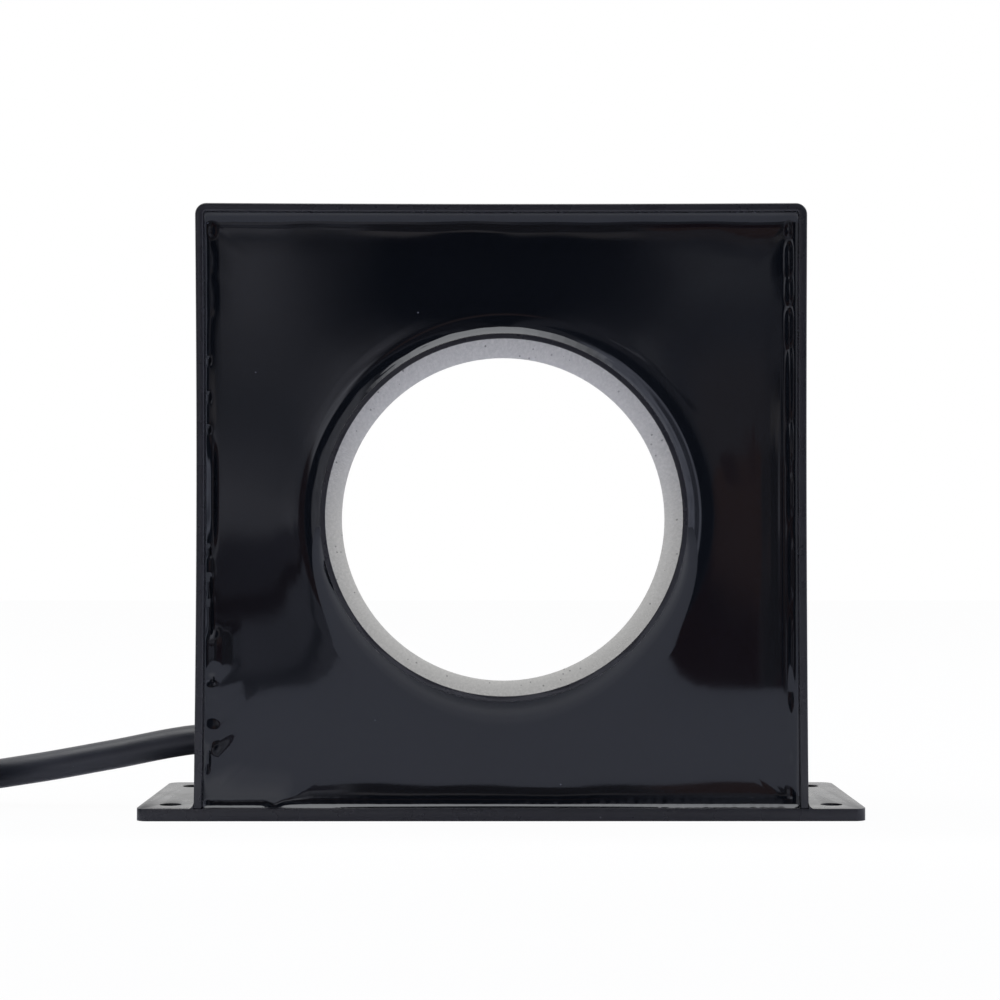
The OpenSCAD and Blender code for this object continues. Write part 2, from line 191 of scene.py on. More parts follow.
def lead_points():
    """Lead out of the box, round one bend and onto the coil's circle, and its last angle."""
    bend_r = (COIL_Y + TURN_R * math.sin(JOIN)) / (1 - math.sin(JOIN))
    bend_x = COIL_X + (TURN_R + bend_r) * math.cos(JOIN)
    straight = EXIT[0] - bend_x
    bend = bend_r * (math.pi / 2 - JOIN)
    points = []
    for along, share in LEAD_FALL:
        s = along * MM
        z = COIL_Z + (EXIT[2] - COIL_Z) * share
        angle = JOIN + (s - straight - bend) / TURN_R
        if s < straight:
            points.append((EXIT[0] - s, 0, z))
        elif s < straight + bend:
            turn = (s - straight) / bend_r
            points.append((bend_x - bend_r * math.sin(turn), bend_r * (1 - math.cos(turn)), z))
        else:
            points.append((COIL_X + TURN_R * math.cos(angle),
                           COIL_Y + TURN_R * math.sin(angle), z))
    return points, math.degrees(angle)


def coil_points(start):
    """Turns of the coil, from the angle in degrees where the lead joins it."""
    points = []
    column, layer = 1, 0
    for stop, next_column, next_layer, over_lead in COIL_STAGES:
        count = math.ceil((stop - start) / COIL_STEP)
        for k in range(1, count + 1):
            t = ease(k / count)
            angle = math.radians(start + (stop - start) * k / count)
            radius = TURN_R - TURN_PITCH * (1 - column - (next_column - column) * t)
            rise = TURN_PITCH * (layer + (next_layer - layer) * t)
            if over_lead:
                rise += HUMP * math.sin(math.pi * k / count) ** 2
            points.append((COIL_X + radius * math.cos(angle),
                           COIL_Y + radius * math.sin(angle), COIL_Z + rise))
        start, column, layer = stop, next_column, next_layer
    return points


def make_lead(material):
    """The sheathed lead as one curve, out of the grommet, down and into its coil."""
    data = bpy.data.curves.new("flying_lead", "CURVE")
    data.dimensions = "3D"
    data.bevel_depth = LEAD_D / 2
    data.bevel_resolution = 7
    data.resolution_u = 5
    data.use_fill_caps = True
    route, joined_at = lead_points()
    route += coil_points(joined_at)
    spline = data.splines.new("BEZIER")
    spline.bezier_points.add(len(route) - 1)
    for knot, place in zip(spline.bezier_points, route):
        knot.co = place
        knot.handle_left_type = "AUTO"
        knot.handle_right_type = "AUTO"
    piece = bpy.data.objects.new("flying_lead", data)
    bpy.context.scene.collection.objects.link(piece)
    dress(piece, material)
    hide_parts("lead_cable", "lead_coil")


# ---------- effects that several finishes share ----------


def effect(name, inputs, outputs):
    """Empty shader group with named inputs (name, kind, value) and outputs (name, kind)."""
    tree = bpy.data.node_groups.new(name, "ShaderNodeTree")
    for label, kind, value in inputs:
        socket = tree.interface.new_socket(label, in_out="INPUT", socket_type=kind)
        socket.default_value = value
    for label, kind in outputs:
        tree.interface.new_socket(label, in_out="OUTPUT", socket_type=kind)
    return tree, tree.nodes.new("NodeGroupInput"), tree.nodes.new("NodeGroupOutput")


def add(tree, kind, **values):
    """New node with its properties and unlinked inputs set by name."""
    node = tree.nodes.new(kind)
    for name, value in values.items():
        if hasattr(node, name):
            setattr(node, name, value)
        else:
            node.inputs[name.replace("_", " ")].default_value = value
    return node


def times(tree, value, factor):
    """A value multiplied by a plain number."""
    node = add(tree, "ShaderNodeMath", operation="MULTIPLY")
    node.inputs[1].default_value = factor
    tree.links.new(value, node.inputs[0])
    return node.outputs[0]


def drawn_place(tree, given):
    """Place on the piece, drawn out along Y where Along is less than 1."""
    place = add(tree, "ShaderNodeTexCoord")
    along = add(tree, "ShaderNodeCombineXYZ", X=1.0, Z=1.0)
    drawn = add(tree, "ShaderNodeVectorMath", operation="MULTIPLY")
    tree.links.new(given.outputs["Along"], along.inputs["Y"])
    tree.links.new(place.outputs["Object"], drawn.inputs[0])
    tree.links.new(along.outputs[0], drawn.inputs[1])
    return drawn.outputs[0]


# Scale of the grain's second, wider noise, as a share of the first one's
WIDER_GRAIN = 0.22


def fine_grain():
    """Height of a fine sprayed or moulded skin, two sizes of noise together."""
    tree, given, out = effect(
        "fine grain",
        [("Scale", "NodeSocketFloat", 1000.0), ("Detail", "NodeSocketFloat", 2.0),
         ("Along", "NodeSocketFloat", 1.0)],
        [("Height", "NodeSocketFloat")])
    place = drawn_place(tree, given)
    fine = add(tree, "ShaderNodeTexNoise")
    wide = add(tree, "ShaderNodeTexNoise")
    both = add(tree, "ShaderNodeMath", operation="ADD")
    links = tree.links
    links.new(given.outputs["Scale"], fine.inputs["Scale"])
    links.new(given.outputs["Detail"], fine.inputs["Detail"])
    links.new(times(tree, given.outputs["Scale"], WIDER_GRAIN), wide.inputs["Scale"])
    links.new(place, fine.inputs["Vector"])
    links.new(place, wide.inputs["Vector"])
    links.new(fine.outputs["Fac"], both.inputs[0])
    links.new(wide.outputs["Fac"], both.inputs[1])
    links.new(both.outputs[0], out.inputs["Height"])
    return tree


def dust_specks():
    """Mask of round specks of dust, on a share of the cells that Cover gives."""
    tree, given, out = effect(
        "dust specks",
        [("Scale", "NodeSocketFloat", 400.0), ("Size", "NodeSocketFloat", 0.1),
         ("Cover", "NodeSocketFloat", 0.5), ("Along", "NodeSocketFloat", 1.0)],
        [("Mask", "NodeSocketFloat")])
    place = drawn_place(tree, given)
    cells = add(tree, "ShaderNodeTexVoronoi", feature="F1")
    near = add(tree, "ShaderNodeMath", operation="LESS_THAN")
    chance = add(tree, "ShaderNodeTexWhiteNoise", noise_dimensions="3D")
    some = add(tree, "ShaderNodeMath", operation="LESS_THAN")
    both = add(tree, "ShaderNodeMath", operation="MULTIPLY")
    links = tree.links
    links.new(place, cells.inputs["Vector"])
    links.new(given.outputs["Scale"], cells.inputs["Scale"])
    links.new(cells.outputs["Distance"], near.inputs[0])
    links.new(given.outputs["Size"], near.inputs[1])
    links.new(cells.outputs["Position"], chance.inputs["Vector"])
    links.new(chance.outputs["Value"], some.inputs[0])
    links.new(given.outputs["Cover"], some.inputs[1])
    links.new(near.outputs[0], both.inputs[0])
    links.new(some.outputs[0], both.inputs[1])
    links.new(both.outputs[0], out.inputs["Mask"])
    return tree


def mottle():
    """Slow change between two colours, for paint, metal and plastic that isn't quite even."""
    tree, given, out = effect(
        "mottle",
        [("Light", "NodeSocketColor", (1, 1, 1, 1)), ("Dark", "NodeSocketColor", (0, 0, 0, 1)),
         ("Scale", "NodeSocketFloat", 60.0), ("Along", "NodeSocketFloat", 1.0)],
        [("Color", "NodeSocketColor"), ("Mask", "NodeSocketFloat")])
    place = drawn_place(tree, given)
    noise = add(tree, "ShaderNodeTexNoise", Detail=4.0, Roughness=0.6)
    spread = add(tree, "ShaderNodeMapRange", From_Min=0.35, From_Max=0.65)
    blend = add(tree, "ShaderNodeMix", data_type="RGBA")
    links = tree.links
    links.new(place, noise.inputs["Vector"])
    links.new(given.outputs["Scale"], noise.inputs["Scale"])
    links.new(noise.outputs["Fac"], spread.inputs["Value"])
    links.new(spread.outputs["Result"], blend.inputs["Factor"])
    links.new(given.outputs["Dark"], blend.inputs[6])
    links.new(given.outputs["Light"], blend.inputs[7])
    links.new(blend.outputs[2], out.inputs["Color"])
    links.new(spread.outputs["Result"], out.inputs["Mask"])
    return tree


GRAIN = fine_grain()
DUST = dust_specks()
MOTTLE = mottle()


def placed(tree, group, **values):
    """Puts a shader group into a material, with its inputs set by name."""
    node = tree.nodes.new("ShaderNodeGroup")
    node.node_tree = group
    for name, value in values.items():
        node.inputs[name].default_value = value
    return node


# ---------- finishes ----------


def finish(name, light, dark, patch, rough, grain_scale, grain_depth, dust=None, along=1.0,
           **shader):
    """Mottled colour, uneven gloss and a fine skin, with dust where it is given.

    light and dark are the two colours, and patch is the scale that they change at. rough is
    (smoothest, roughest). The grain has a scale and a depth in metres. dust is (scale, size,
    cover, colour). along under 1 draws the patterns out along Y.
    """
    material = bpy.data.materials.new(name)
    material.use_nodes = True
    tree = material.node_tree
    bsdf = tree.nodes["Principled BSDF"]
    for label, value in shader.items():
        bsdf.inputs[label.replace("_", " ")].default_value = value
    tint = placed(tree, MOTTLE, Light=(*light, 1), Dark=(*dark, 1), Scale=patch, Along=along)
    gloss = add(tree, "ShaderNodeMapRange", To_Min=rough[0], To_Max=rough[1])
    skin = placed(tree, GRAIN, Scale=grain_scale, Detail=3.0, Along=along)
    bump = add(tree, "ShaderNodeBump", Strength=1.0, Distance=grain_depth)
    links = tree.links
    colour = tint.outputs["Color"]
    if dust:
        scale, size, cover, shade = dust
        specks = placed(tree, DUST, Scale=scale, Size=size, Cover=cover, Along=along)
        over = add(tree, "ShaderNodeMix", data_type="RGBA")
        over.inputs[7].default_value = (*shade, 1)
        links.new(specks.outputs["Mask"], over.inputs["Factor"])
        links.new(colour, over.inputs[6])
        colour = over.outputs[2]
    links.new(colour, bsdf.inputs["Base Color"])
    links.new(tint.outputs["Mask"], gloss.inputs["Value"])
    links.new(gloss.outputs["Result"], bsdf.inputs["Roughness"])
    links.new(skin.outputs["Height"], bump.inputs["Height"])
    links.new(bump.outputs["Normal"], bsdf.inputs["Normal"])
    return material


PAINT = finish("satin black paint", (0.0220, 0.0226, 0.0280), (0.0180, 0.0185, 0.0235), 90,
               (0.25, 0.32), 1800, 0.00003, dust=(260, 0.06, 0.12, (0.09, 0.09, 0.10)))
STEEL = finish("dull bare steel", (0.48, 0.475, 0.464), (0.30, 0.297, 0.290), 1300,
               (0.42, 0.55), 2600, 0.00012, dust=(800, 0.20, 0.16, (0.10, 0.10, 0.10)),
               along=0.07, Metallic=0.85)
RESIN = finish("gloss cast resin", (0.0054, 0.0067, 0.0096), (0.0046, 0.0058, 0.0084), 30,
               (0.03, 0.045), 500, 0.000001, dust=(300, 0.065, 0.05, (0.15, 0.16, 0.19)),
               IOR=1.53, Specular_Tint=(0.93, 0.955, 1.0, 1))
SHEATH = finish("lead sheath", (0.034, 0.037, 0.048), (0.027, 0.030, 0.039), 120,
                (0.36, 0.46), 2400, 0.00002, dust=(500, 0.07, 0.05, (0.12, 0.12, 0.13)))
RUBBER = finish("grommet rubber", (0.016, 0.016, 0.017), (0.012, 0.012, 0.013), 150,
                (0.55, 0.7), 2000, 0.00003)
CORE = finish("core steel", (0.33, 0.33, 0.35), (0.22, 0.22, 0.24), 200, (0.35, 0.5),
              1500, 0.00002, Metallic=1.0)
PAPER = finish("pressboard", (0.52, 0.38, 0.21), (0.42, 0.29, 0.15), 200, (0.8, 0.9),
               1200, 0.00006)
COPPER = finish("enamelled copper", (0.55, 0.22, 0.08), (0.42, 0.15, 0.05), 250, (0.2, 0.3),
                1500, 0.00001, Metallic=1.0)
TAPE = finish("cotton tape", (0.76, 0.71, 0.56), (0.66, 0.6, 0.45), 250, (0.85, 0.95),
              1600, 0.00008)
SLEEVE = finish("shrink sleeve", (0.5, 0.04, 0.04), (0.4, 0.03, 0.03), 200, (0.4, 0.5),
                1500, 0.00002)
BROWN = finish("brown core", (0.15, 0.06, 0.025), (0.12, 0.045, 0.018), 250, (0.35, 0.45),
               1800, 0.00001)
BLUE = finish("blue core", (0.03, 0.10, 0.38), (0.025, 0.08, 0.31), 250, (0.35, 0.45),
              1800, 0.00001)
NYLON = finish("natural nylon", (0.76, 0.76, 0.72), (0.7, 0.7, 0.66), 200, (0.4, 0.5),
               1500, 0.00001)
STRAP = finish("black nylon strap", (0.022, 0.022, 0.024), (0.016, 0.016, 0.018), 200,
               (0.4, 0.55), 1500, 0.00003)
TINNED = finish("tinned copper", (0.62, 0.62, 0.62), (0.5, 0.5, 0.5), 300, (0.25, 0.4),
                2000, 0.00001, Metallic=1.0)

BY_SLOT = {
    "painted_steel": PAINT, "bare_steel": STEEL, "cast_resin": RESIN, "core_strip": CORE,
    "insulating_paper": PAPER, "copper_wire": COPPER, "cotton_tape": TAPE,
    "shrink_sleeve": SLEEVE, "brown_insulation": BROWN, "blue_insulation": BLUE,
    "lead_sheath": SHEATH, "nylon_tie": NYLON, "grommet_rubber": RUBBER,
    "strap_nylon": STRAP, "tinned_copper": TINNED,
}


def finish_nodes():
    """Gives every CAD node its slot's finish."""
    for part in frame["record"]["subparts"]:
        node = frame["nodes"][part["node"]]
        for slot in node.material_slots:
            slot.material = BY_SLOT[part["material_slot"]]


finish_nodes()
make_lead(SHEATH)

# ---------- steelwork ----------

# How far the resin's shrinkage has drawn in the middle of the left, right and top walls
DRAWN_IN = (0.5 * MM, 0.3 * MM, 0.25 * MM)
# How fast the draw dies away from the open front to the back
DRAW_FADE = 0.7
# What lies within this of the box's outside belongs to a wall
WALL_ZONE = 3 * MM
# How many cuts give the walls points to bend at, across them and from front to back
CUTS_ACROSS, CUTS_DEEP = 16, 4
# Radius of the edges of folded and cut sheet, and of the tube
SHEET_EDGE_R = 0.4 * MM
TUBE_EDGE_R = 0.25 * MM
# How far the plate's sheared ends stand past its nominal length, and where an end starts
SHEARED_LONG = 0.45 * MM
END_STARTS = box_hi[0] + 10.5 * MM


def cut_across(piece, heading, places):
    """Cuts all faces of a piece by planes square to heading, to give it points to bend at."""
    make_active(piece)
    bpy.ops.object.mode_set(mode="EDIT")
    for place in places:
        bpy.ops.mesh.select_all(action="SELECT")
        bpy.ops.mesh.bisect(plane_co=Vector(heading) * place, plane_no=heading)
    bpy.ops.object.mode_set(mode="OBJECT")


def even_cuts(low, high, count):
    """Places of cuts that part a length evenly."""
    return np.linspace(low, high, count + 2)[1:-1]


def part_of(value, low, high):
    """How far a value lies from low to high, as a share from 0 to 1."""
    return min(1, max(0, (value - low) / (high - low)))


def draw_in_walls(piece):
    """Bows the box's three walls inwards, most at the front and not at all at the back."""
    left, right, top = DRAWN_IN
    cut_across(piece, (0, 0, 1), even_cuts(box_lo[2], box_hi[2], CUTS_ACROSS))
    cut_across(piece, (1, 0, 0), even_cuts(box_lo[0], box_hi[0], CUTS_ACROSS))
    cut_across(piece, (0, 1, 0), even_cuts(box_lo[1], box_hi[1], CUTS_DEEP))
    for vertex in piece.data.vertices:
        x, y, z = vertex.co
        share = (1 - part_of(y, box_lo[1], box_hi[1])) ** DRAW_FADE
        if abs(x) > box_hi[0] - WALL_ZONE:
            bow = math.sin(math.pi * part_of(z, box_lo[2], box_hi[2])) * share
            vertex.co.x += left * bow if x < 0 else -right * bow
        if z > box_hi[2] - WALL_ZONE:
            bow = math.sin(math.pi * part_of(x, box_lo[0], box_hi[0])) * share
            vertex.co.z -= top * bow
    piece.data.update()


def make_box():
    """Folded sheet box, drawn in by the casting."""
    box = softened_copy("housing_wrapper", "folded_box", SHEET_EDGE_R)
    draw_in_walls(box)
    dress(box, PAINT)


def make_plate():
    """Base plate, sheared a little long."""
    plate = softened_copy("base_plate", "fixing_plate", SHEET_EDGE_R)
    for vertex in plate.data.vertices:
        if abs(vertex.co.x) > END_STARTS:
            vertex.co.x += math.copysign(SHEARED_LONG, vertex.co.x)
    dress(plate, PAINT)


def make_sleeve():
    """Window tube, bare inside and out, with paint on its two end faces."""
    tube = softened_copy("window_tube", "window_sleeve", TUBE_EDGE_R)
    dress(tube, STEEL)
    tube.data.materials.append(PAINT)
    for face in tube.data.polygons:
        face.material_index = 1 if abs(face.normal[1]) > 0.5 else 0


make_box()
make_plate()
make_sleeve()

# ---------- cast face ----------

# Points round the face, and rows of them over its collar, its middle and its edge
AROUND = 1450
COLLAR_ROWS, MIDDLE_ROWS, EDGE_ROWS = 26, 8, 32
# Width of the collar's rows beside the tube, and of the edge's rows beside the walls
COLLAR_ZONE, EDGE_ZONE = 8 * MM, 5 * MM
# How much closer together the rows are next to the tube and next to the walls
COLLAR_CROWDING, EDGE_CROWDING = 1.7, 1.5
# How far the face's middle lies behind the casting's front, and the most it may rise from there
FACE_BACK, RISE_LIMIT = 3.2 * MM, 3.4 * MM
# Radius of the casting's two top corners, and steps round one
CORNER_R, CORNER_STEPS = 0.8 * MM, 6

# Blisters and pockets beside the walls: height on the wall, length, place out from the wall,
# width and lift, all in millimetres
LEFT_POCKETS = [
    (146, 4, 1.6, 0.9, 0.30), (138, 6, 1.3, 1.2, 0.06), (129, 8, 1.4, 1.3, 0.07),
    (113, 2, 0.9, 0.5, -0.3), (104, 2.5, 1.0, 0.5, -0.3), (96, 2, 0.9, 0.5, -0.3),
    (80, 23, 2.0, 0.9, -0.40), (66, 3, 1.1, 0.5, -0.25), (57.5, 5, 1.2, 0.7, -0.35),
    (50, 9, 1.3, 0.8, -0.40), (41, 10, 2.6, 1.8, 0.26), (34.5, 2.2, 1.9, 0.8, -0.30),
    (27, 7, 2.6, 1.5, -0.24), (21.5, 9, 3.8, 2.3, -0.24), (24, 9, 8.0, 2.5, 0.07),
    (15, 6, 1.0, 0.7, -0.25), (13, 9, 4.5, 2.6, 0.16),
]
RIGHT_BEADS = [
    (146, 4, 2.2, 0.8, 0.35), (138, 8, 2.1, 0.8, 0.40), (130.5, 6, 2.0, 0.8, 0.36),
    (121.5, 8.5, 2.1, 0.8, 0.38), (107, 18, 2.0, 0.75, 0.34), (92, 10, 2.0, 0.75, 0.28),
    (80, 12, 1.9, 0.7, 0.24), (62, 18, 1.8, 0.65, 0.2), (42, 16, 1.8, 0.6, 0.18),
    (22, 14, 1.8, 0.6, 0.18), (62, 112, 4.3, 0.6, 0.10), (58, 104, 7.0, 0.7, 0.075),
]
# They die away within this of the base plate and of the top wall
BLISTER_FREE = 7 * MM

# Creases on the upper half of the collar: distance from the tube and lift in millimetres, and
# the seed of their wander
CREASES = [(1.3, 0.040, 31), (2.3, 0.030, 32)]
CREASE_W = 0.38 * MM

# Gap in the resin over the base plate, and the distance past it where the resin is full again
GAP_X, GAP_W = -56 * MM, 1.8 * MM
GAP_TO_FULL = 10 * MM


def wall_outline(count):
    """Points round the inside of the box, anticlockwise from the middle of the right wall."""
    lo_x, hi_x = resin_lo[0], resin_hi[0]
    lo_z, hi_z = resin_lo[2], resin_hi[2]
    path = [(hi_x, window_z)]
    for middle_x, first in ((hi_x - CORNER_R, 0), (lo_x + CORNER_R, 90)):
        for k in range(CORNER_STEPS + 1):
            a = math.radians(first + 90 * k / CORNER_STEPS)
            path.append((middle_x + CORNER_R * math.cos(a),
                         hi_z - CORNER_R + CORNER_R * math.sin(a)))
    path += [(lo_x, lo_z), (hi_x, lo_z), (hi_x, window_z)]
    path = np.array(path)
    run = np.concatenate([[0], np.cumsum(np.linalg.norm(np.diff(path, axis=0), axis=1))])
    at = np.linspace(0, run[-1], count, endpoint=False)
    return np.stack([np.interp(at, run, path[:, 0]), np.interp(at, run, path[:, 1])], axis=1)


def wave(t, seed, lengths):
    """Smooth uneven line along t in metres, made of sines of the given lengths."""
    draw = np.random.default_rng(seed)
    total = np.zeros_like(t)
    for length in lengths:
        total += np.sin(2 * math.pi * t / length + draw.uniform(0, 6.3)) * draw.uniform(0.6, 1)
    return total / len(lengths)


def wander(t, middle, swing, seed, lengths):
    """Width that isn't even along t: its middle and swing are in millimetres."""
    return (middle + swing * wave(t, seed, lengths)) * MM


def step_up(value, start, over):
    """0 up to start, then a smooth step to 1."""
    return ease(np.clip((value - start) / over, 0, 1))


def climb(distance, slope, reach):
    """Concave edge that leaves a wall at a slope and dies away over a reach."""
    return slope * reach * np.exp(-np.maximum(distance, 0) / reach)


def swell(distance, slope, reach):
    """Rounder edge than climb: it keeps its slope longer and then ends sooner."""
    tail = np.vectorize(math.erfc)(np.maximum(distance, 0) / reach)
    return slope * reach * 0.5 * math.sqrt(math.pi) * tail


def bead(along, distance, centre, length, out, width, height):
    """Smooth long blister beside a wall, or a pocket where height is negative."""
    return height * np.exp(-((along - centre) / (0.5 * length)) ** 4
                           - ((distance - out) / width) ** 2)


def collar_rise(x, z):
    """Climb up the tube: slight under it, steep and creased over it."""
    ring = np.hypot(x - window_x, z - window_z) - tube_r
    turn = np.arctan2(z - window_z, x - window_x)
    steep = 0.4 + 0.8 * step_up(np.sin(turn), -0.8, 0.6)
    rise = swell(ring, 0.5 * steep, (3.0 + 0.25 * np.cos(turn - 0.35)) * MM)
    rise += climb(ring, 0.22, 4.0 * MM)
    upper = step_up(np.sin(turn), -0.3, 0.8)
    for out, lift, seed in CREASES:
        crease = wander(x + 0.6 * z, out, 0.45, seed, (0.05, 0.021, 0.009))
        rise += upper * lift * MM * np.exp(-((ring - crease) / CREASE_W) ** 2)
    return rise


def top_rise(x, top):
    """Climb up the top wall: a tight edge in a wide hollow."""
    tight = climb(top, 1.0, wander(x, 1.25, 0.16, 3, (0.09, 0.043, 0.02)))
    return tight + climb(top, 0.10, wander(x, 3.4, 1.2, 13, (0.12, 0.05, 0.03)))


def foot_rise(x, foot):
    """Climb off the base plate: low up to the gap and full past it."""
    gap = np.exp(-((x - GAP_X) / GAP_W) ** 2)
    full = step_up(x, GAP_X, GAP_TO_FULL)
    reach = 1.0 + 0.35 * full - 0.3 * gap + 0.1 * wave(x, 5, (0.1, 0.04, 0.02))
    reach += 0.06 * wave(x, 33, (0.0062, 0.0037, 0.0023))
    tight = swell(foot, 0.95 - 0.7 * gap, reach * MM)
    uneven = 1 + 0.1 * wave(x, 6, (0.07, 0.03))
    return tight + climb(foot, 0.165 * full * uneven, 4.4 * MM)


def right_rise(z, right):
    """Climb up the right wall, wider in its lower part."""
    tight = climb(right, 0.9, wander(z, 1.0, 0.1, 7, (0.05, 0.02)))
    return tight + climb(right, 0.06 + 0.10 * step_up(115 * MM - z, 0, 30 * MM), 3.0 * MM)


def left_rise(z, left):
    """Climb up the left wall, the narrowest of the four."""
    tight = climb(left, 1.0, wander(z, 0.55, 0.12, 9, (0.03, 0.013, 0.05)))
    return tight + climb(left, 0.05, 3.5 * MM)


def blisters(z, distance, places):
    """All the blisters and pockets beside one wall."""
    return sum(bead(z, distance, *(value * MM for value in place)) for place in places)


def face_waves(x, z):
    """What keeps the middle of the face from being a true plane."""
    slow = 0.014 * MM * wave(x + 0.4 * z, 21, (0.11, 0.07)) * wave(z - 0.3 * x, 22, (0.09, 0.06))
    quick = 0.0012 * MM * wave(x + 0.2 * z, 23, (0.021, 0.017)) * wave(z, 24, (0.019, 0.026))
    return slow + quick


def face_height(x, z):
    """How far the cast face stands proud of its flat middle, at points x, z."""
    left = x - resin_lo[0]
    right = resin_hi[0] - x
    foot = z - resin_lo[2]
    top = resin_hi[2] - z
    height = collar_rise(x, z) + top_rise(x, top) + foot_rise(x, foot)
    height += right_rise(z, right) + left_rise(z, left) + face_waves(x, z)
    clear = step_up(np.minimum(foot, top), 0, BLISTER_FREE)
    height += clear * (blisters(z, left, LEFT_POCKETS) + blisters(z, right, RIGHT_BEADS))
    return np.minimum(height, RISE_LIMIT)


def row_distances(length):
    """Distances from the tube along one line to the wall, close together at both ends."""
    collar = COLLAR_ZONE * np.linspace(0, 1, COLLAR_ROWS, endpoint=False) ** COLLAR_CROWDING
    edge = length - EDGE_ZONE * np.linspace(0, 1, EDGE_ROWS)[::-1] ** EDGE_CROWDING
    middle = np.linspace(COLLAR_ZONE, edge[0], MIDDLE_ROWS + 1)[:-1]
    return np.concatenate([collar, middle, edge])


def make_cast_face():
    """The casting as one closed shell: a face that climbs the walls and the tube, and a back.

    A grid's rows go out over the face from the tube to the walls, then back along the walls,
    over the back and forward along the tube. Its columns go round.
    """
    rows = COLLAR_ROWS + MIDDLE_ROWS + EDGE_ROWS
    deselect_all()
    bpy.ops.mesh.primitive_grid_add(x_subdivisions=AROUND, y_subdivisions=rows + 2)
    piece = bpy.context.object
    piece.name = "cast_resin_block"
    outer = wall_outline(AROUND)
    away = outer - (window_x, window_z)
    reach = np.linalg.norm(away, axis=1)
    heading = away / reach[:, None]
    places = np.zeros((rows + 3, AROUND + 1, 3))
    for k in range(AROUND):
        out = tube_r + row_distances(reach[k] - tube_r)
        places[:rows, k, 0] = window_x + heading[k, 0] * out
        places[:rows, k, 2] = window_z + heading[k, 1] * out
    face = places[:rows, :AROUND]
    flat_y = resin_lo[1] + FACE_BACK
    face[:, :, 1] = flat_y - face_height(face[:, :, 0], face[:, :, 2])
    places[rows] = places[rows - 1]
    places[rows + 1] = places[0]
    places[rows:rows + 2, :, 1] = resin_hi[1]
    places[rows + 2] = places[0]
    places[:, AROUND] = places[:, 0]
    piece.data.vertices.foreach_set("co", places.reshape(-1))
    piece.data.update()
    make_active(piece)
    bpy.ops.object.mode_set(mode="EDIT")
    bpy.ops.mesh.select_all(action="SELECT")
    bpy.ops.mesh.remove_doubles(threshold=MERGE)
    bpy.ops.mesh.normals_make_consistent(inside=False)
    bpy.ops.object.mode_set(mode="OBJECT")
    settle(piece)
    smooth(piece, 50)
    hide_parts("potting_resin")
    dress(piece, RESIN)


make_cast_face()

# ---------- studio ----------

# Table: its width and depth, its front edge, which stops short of the camera, and its colours
# at shares of the way along Y from TABLE_FROM to TABLE_TO: painted light, brighter and darker
# bands across the table that set how bright its reflections in the cast face and the bore are
TABLE_W, TABLE_DEPTH = 3.2, 2.4
TABLE_EDGE = front_y - 0.47
TABLE_FROM, TABLE_TO = -0.16, 0.04
TABLE_PAINTED_LIGHT_BANDS = [
    (0, (0.565, 0.58, 0.665, 1)), (0.2, (0.70, 0.71, 0.79, 1)), (0.42, (0.93, 0.94, 1.0, 1)),
    (0.57, (0.60, 0.61, 0.68, 1)), (0.65, (0.60, 0.61, 0.68, 1)), (1, (0.76, 0.77, 0.84, 1)),
]
# Share of what the camera sees of the table that is plain white, the rest being its real shade
PLAIN_SHARE = 0.965

# Lamps: how many, the width and height of the first, the steps to the next, their common
# depth and the power of a metre of width
LAMPS = 10
LAMP_W, LAMP_W_STEP = 0.45, 0.165
LAMP_Z, LAMP_Z_STEP = 1.1, 0.006
LAMP_X, LAMP_Y = -0.2, -0.1
LAMP_DEPTH = 0.72
LAMP_POWER = 0.95


def table_finish():
    """Table that the camera sees as white, but for the object's shadow on it, with painted light
    bands along Y in the colour that reflections and bounced light see.
    """
    material = bpy.data.materials.new("table with painted light bands")
    material.use_nodes = True
    tree = material.node_tree
    tree.nodes.clear()
    out = add(tree, "ShaderNodeOutputMaterial")
    lit = add(tree, "ShaderNodeBsdfDiffuse")
    place = add(tree, "ShaderNodeTexCoord")
    split = add(tree, "ShaderNodeSeparateXYZ")
    near = add(tree, "ShaderNodeMapRange", From_Min=TABLE_FROM, From_Max=TABLE_TO)
    # Painted light: the ramp lays brighter and darker bands of table colour along Y, seen in
    # reflections and bounced light
    shade = add(tree, "ShaderNodeValToRGB")
    ramp = shade.color_ramp
    ramp.interpolation = "EASE"
    ramp.elements[0].color = TABLE_PAINTED_LIGHT_BANDS[0][1]
    ramp.elements[1].color = TABLE_PAINTED_LIGHT_BANDS[-1][1]
    for position, colour in TABLE_PAINTED_LIGHT_BANDS[1:-1]:
        ramp.elements.new(position).color = colour
    white = add(tree, "ShaderNodeEmission", Color=(1, 1, 1, 1), Strength=1.0)
    eye = add(tree, "ShaderNodeLightPath")
    mix = add(tree, "ShaderNodeMixShader")
    links = tree.links
    links.new(place.outputs["Object"], split.inputs[0])
    links.new(split.outputs["Y"], near.inputs["Value"])
    links.new(near.outputs["Result"], shade.inputs["Fac"])
    links.new(shade.outputs["Color"], lit.inputs["Color"])
    links.new(times(tree, eye.outputs["Is Camera Ray"], PLAIN_SHARE), mix.inputs["Fac"])
    links.new(lit.outputs[0], mix.inputs[1])
    links.new(white.outputs[0], mix.inputs[2])
    links.new(mix.outputs[0], out.inputs["Surface"])
    return material


def make_table():
    """Pale table that the transformer stands on."""
    bpy.ops.mesh.primitive_plane_add(size=1, location=(0, TABLE_EDGE + TABLE_DEPTH / 2, 0))
    table = bpy.context.object
    table.name = "floor"
    table.scale = (TABLE_W, TABLE_DEPTH, 1)
    settle(table)
    table.data.materials.append(table_finish())


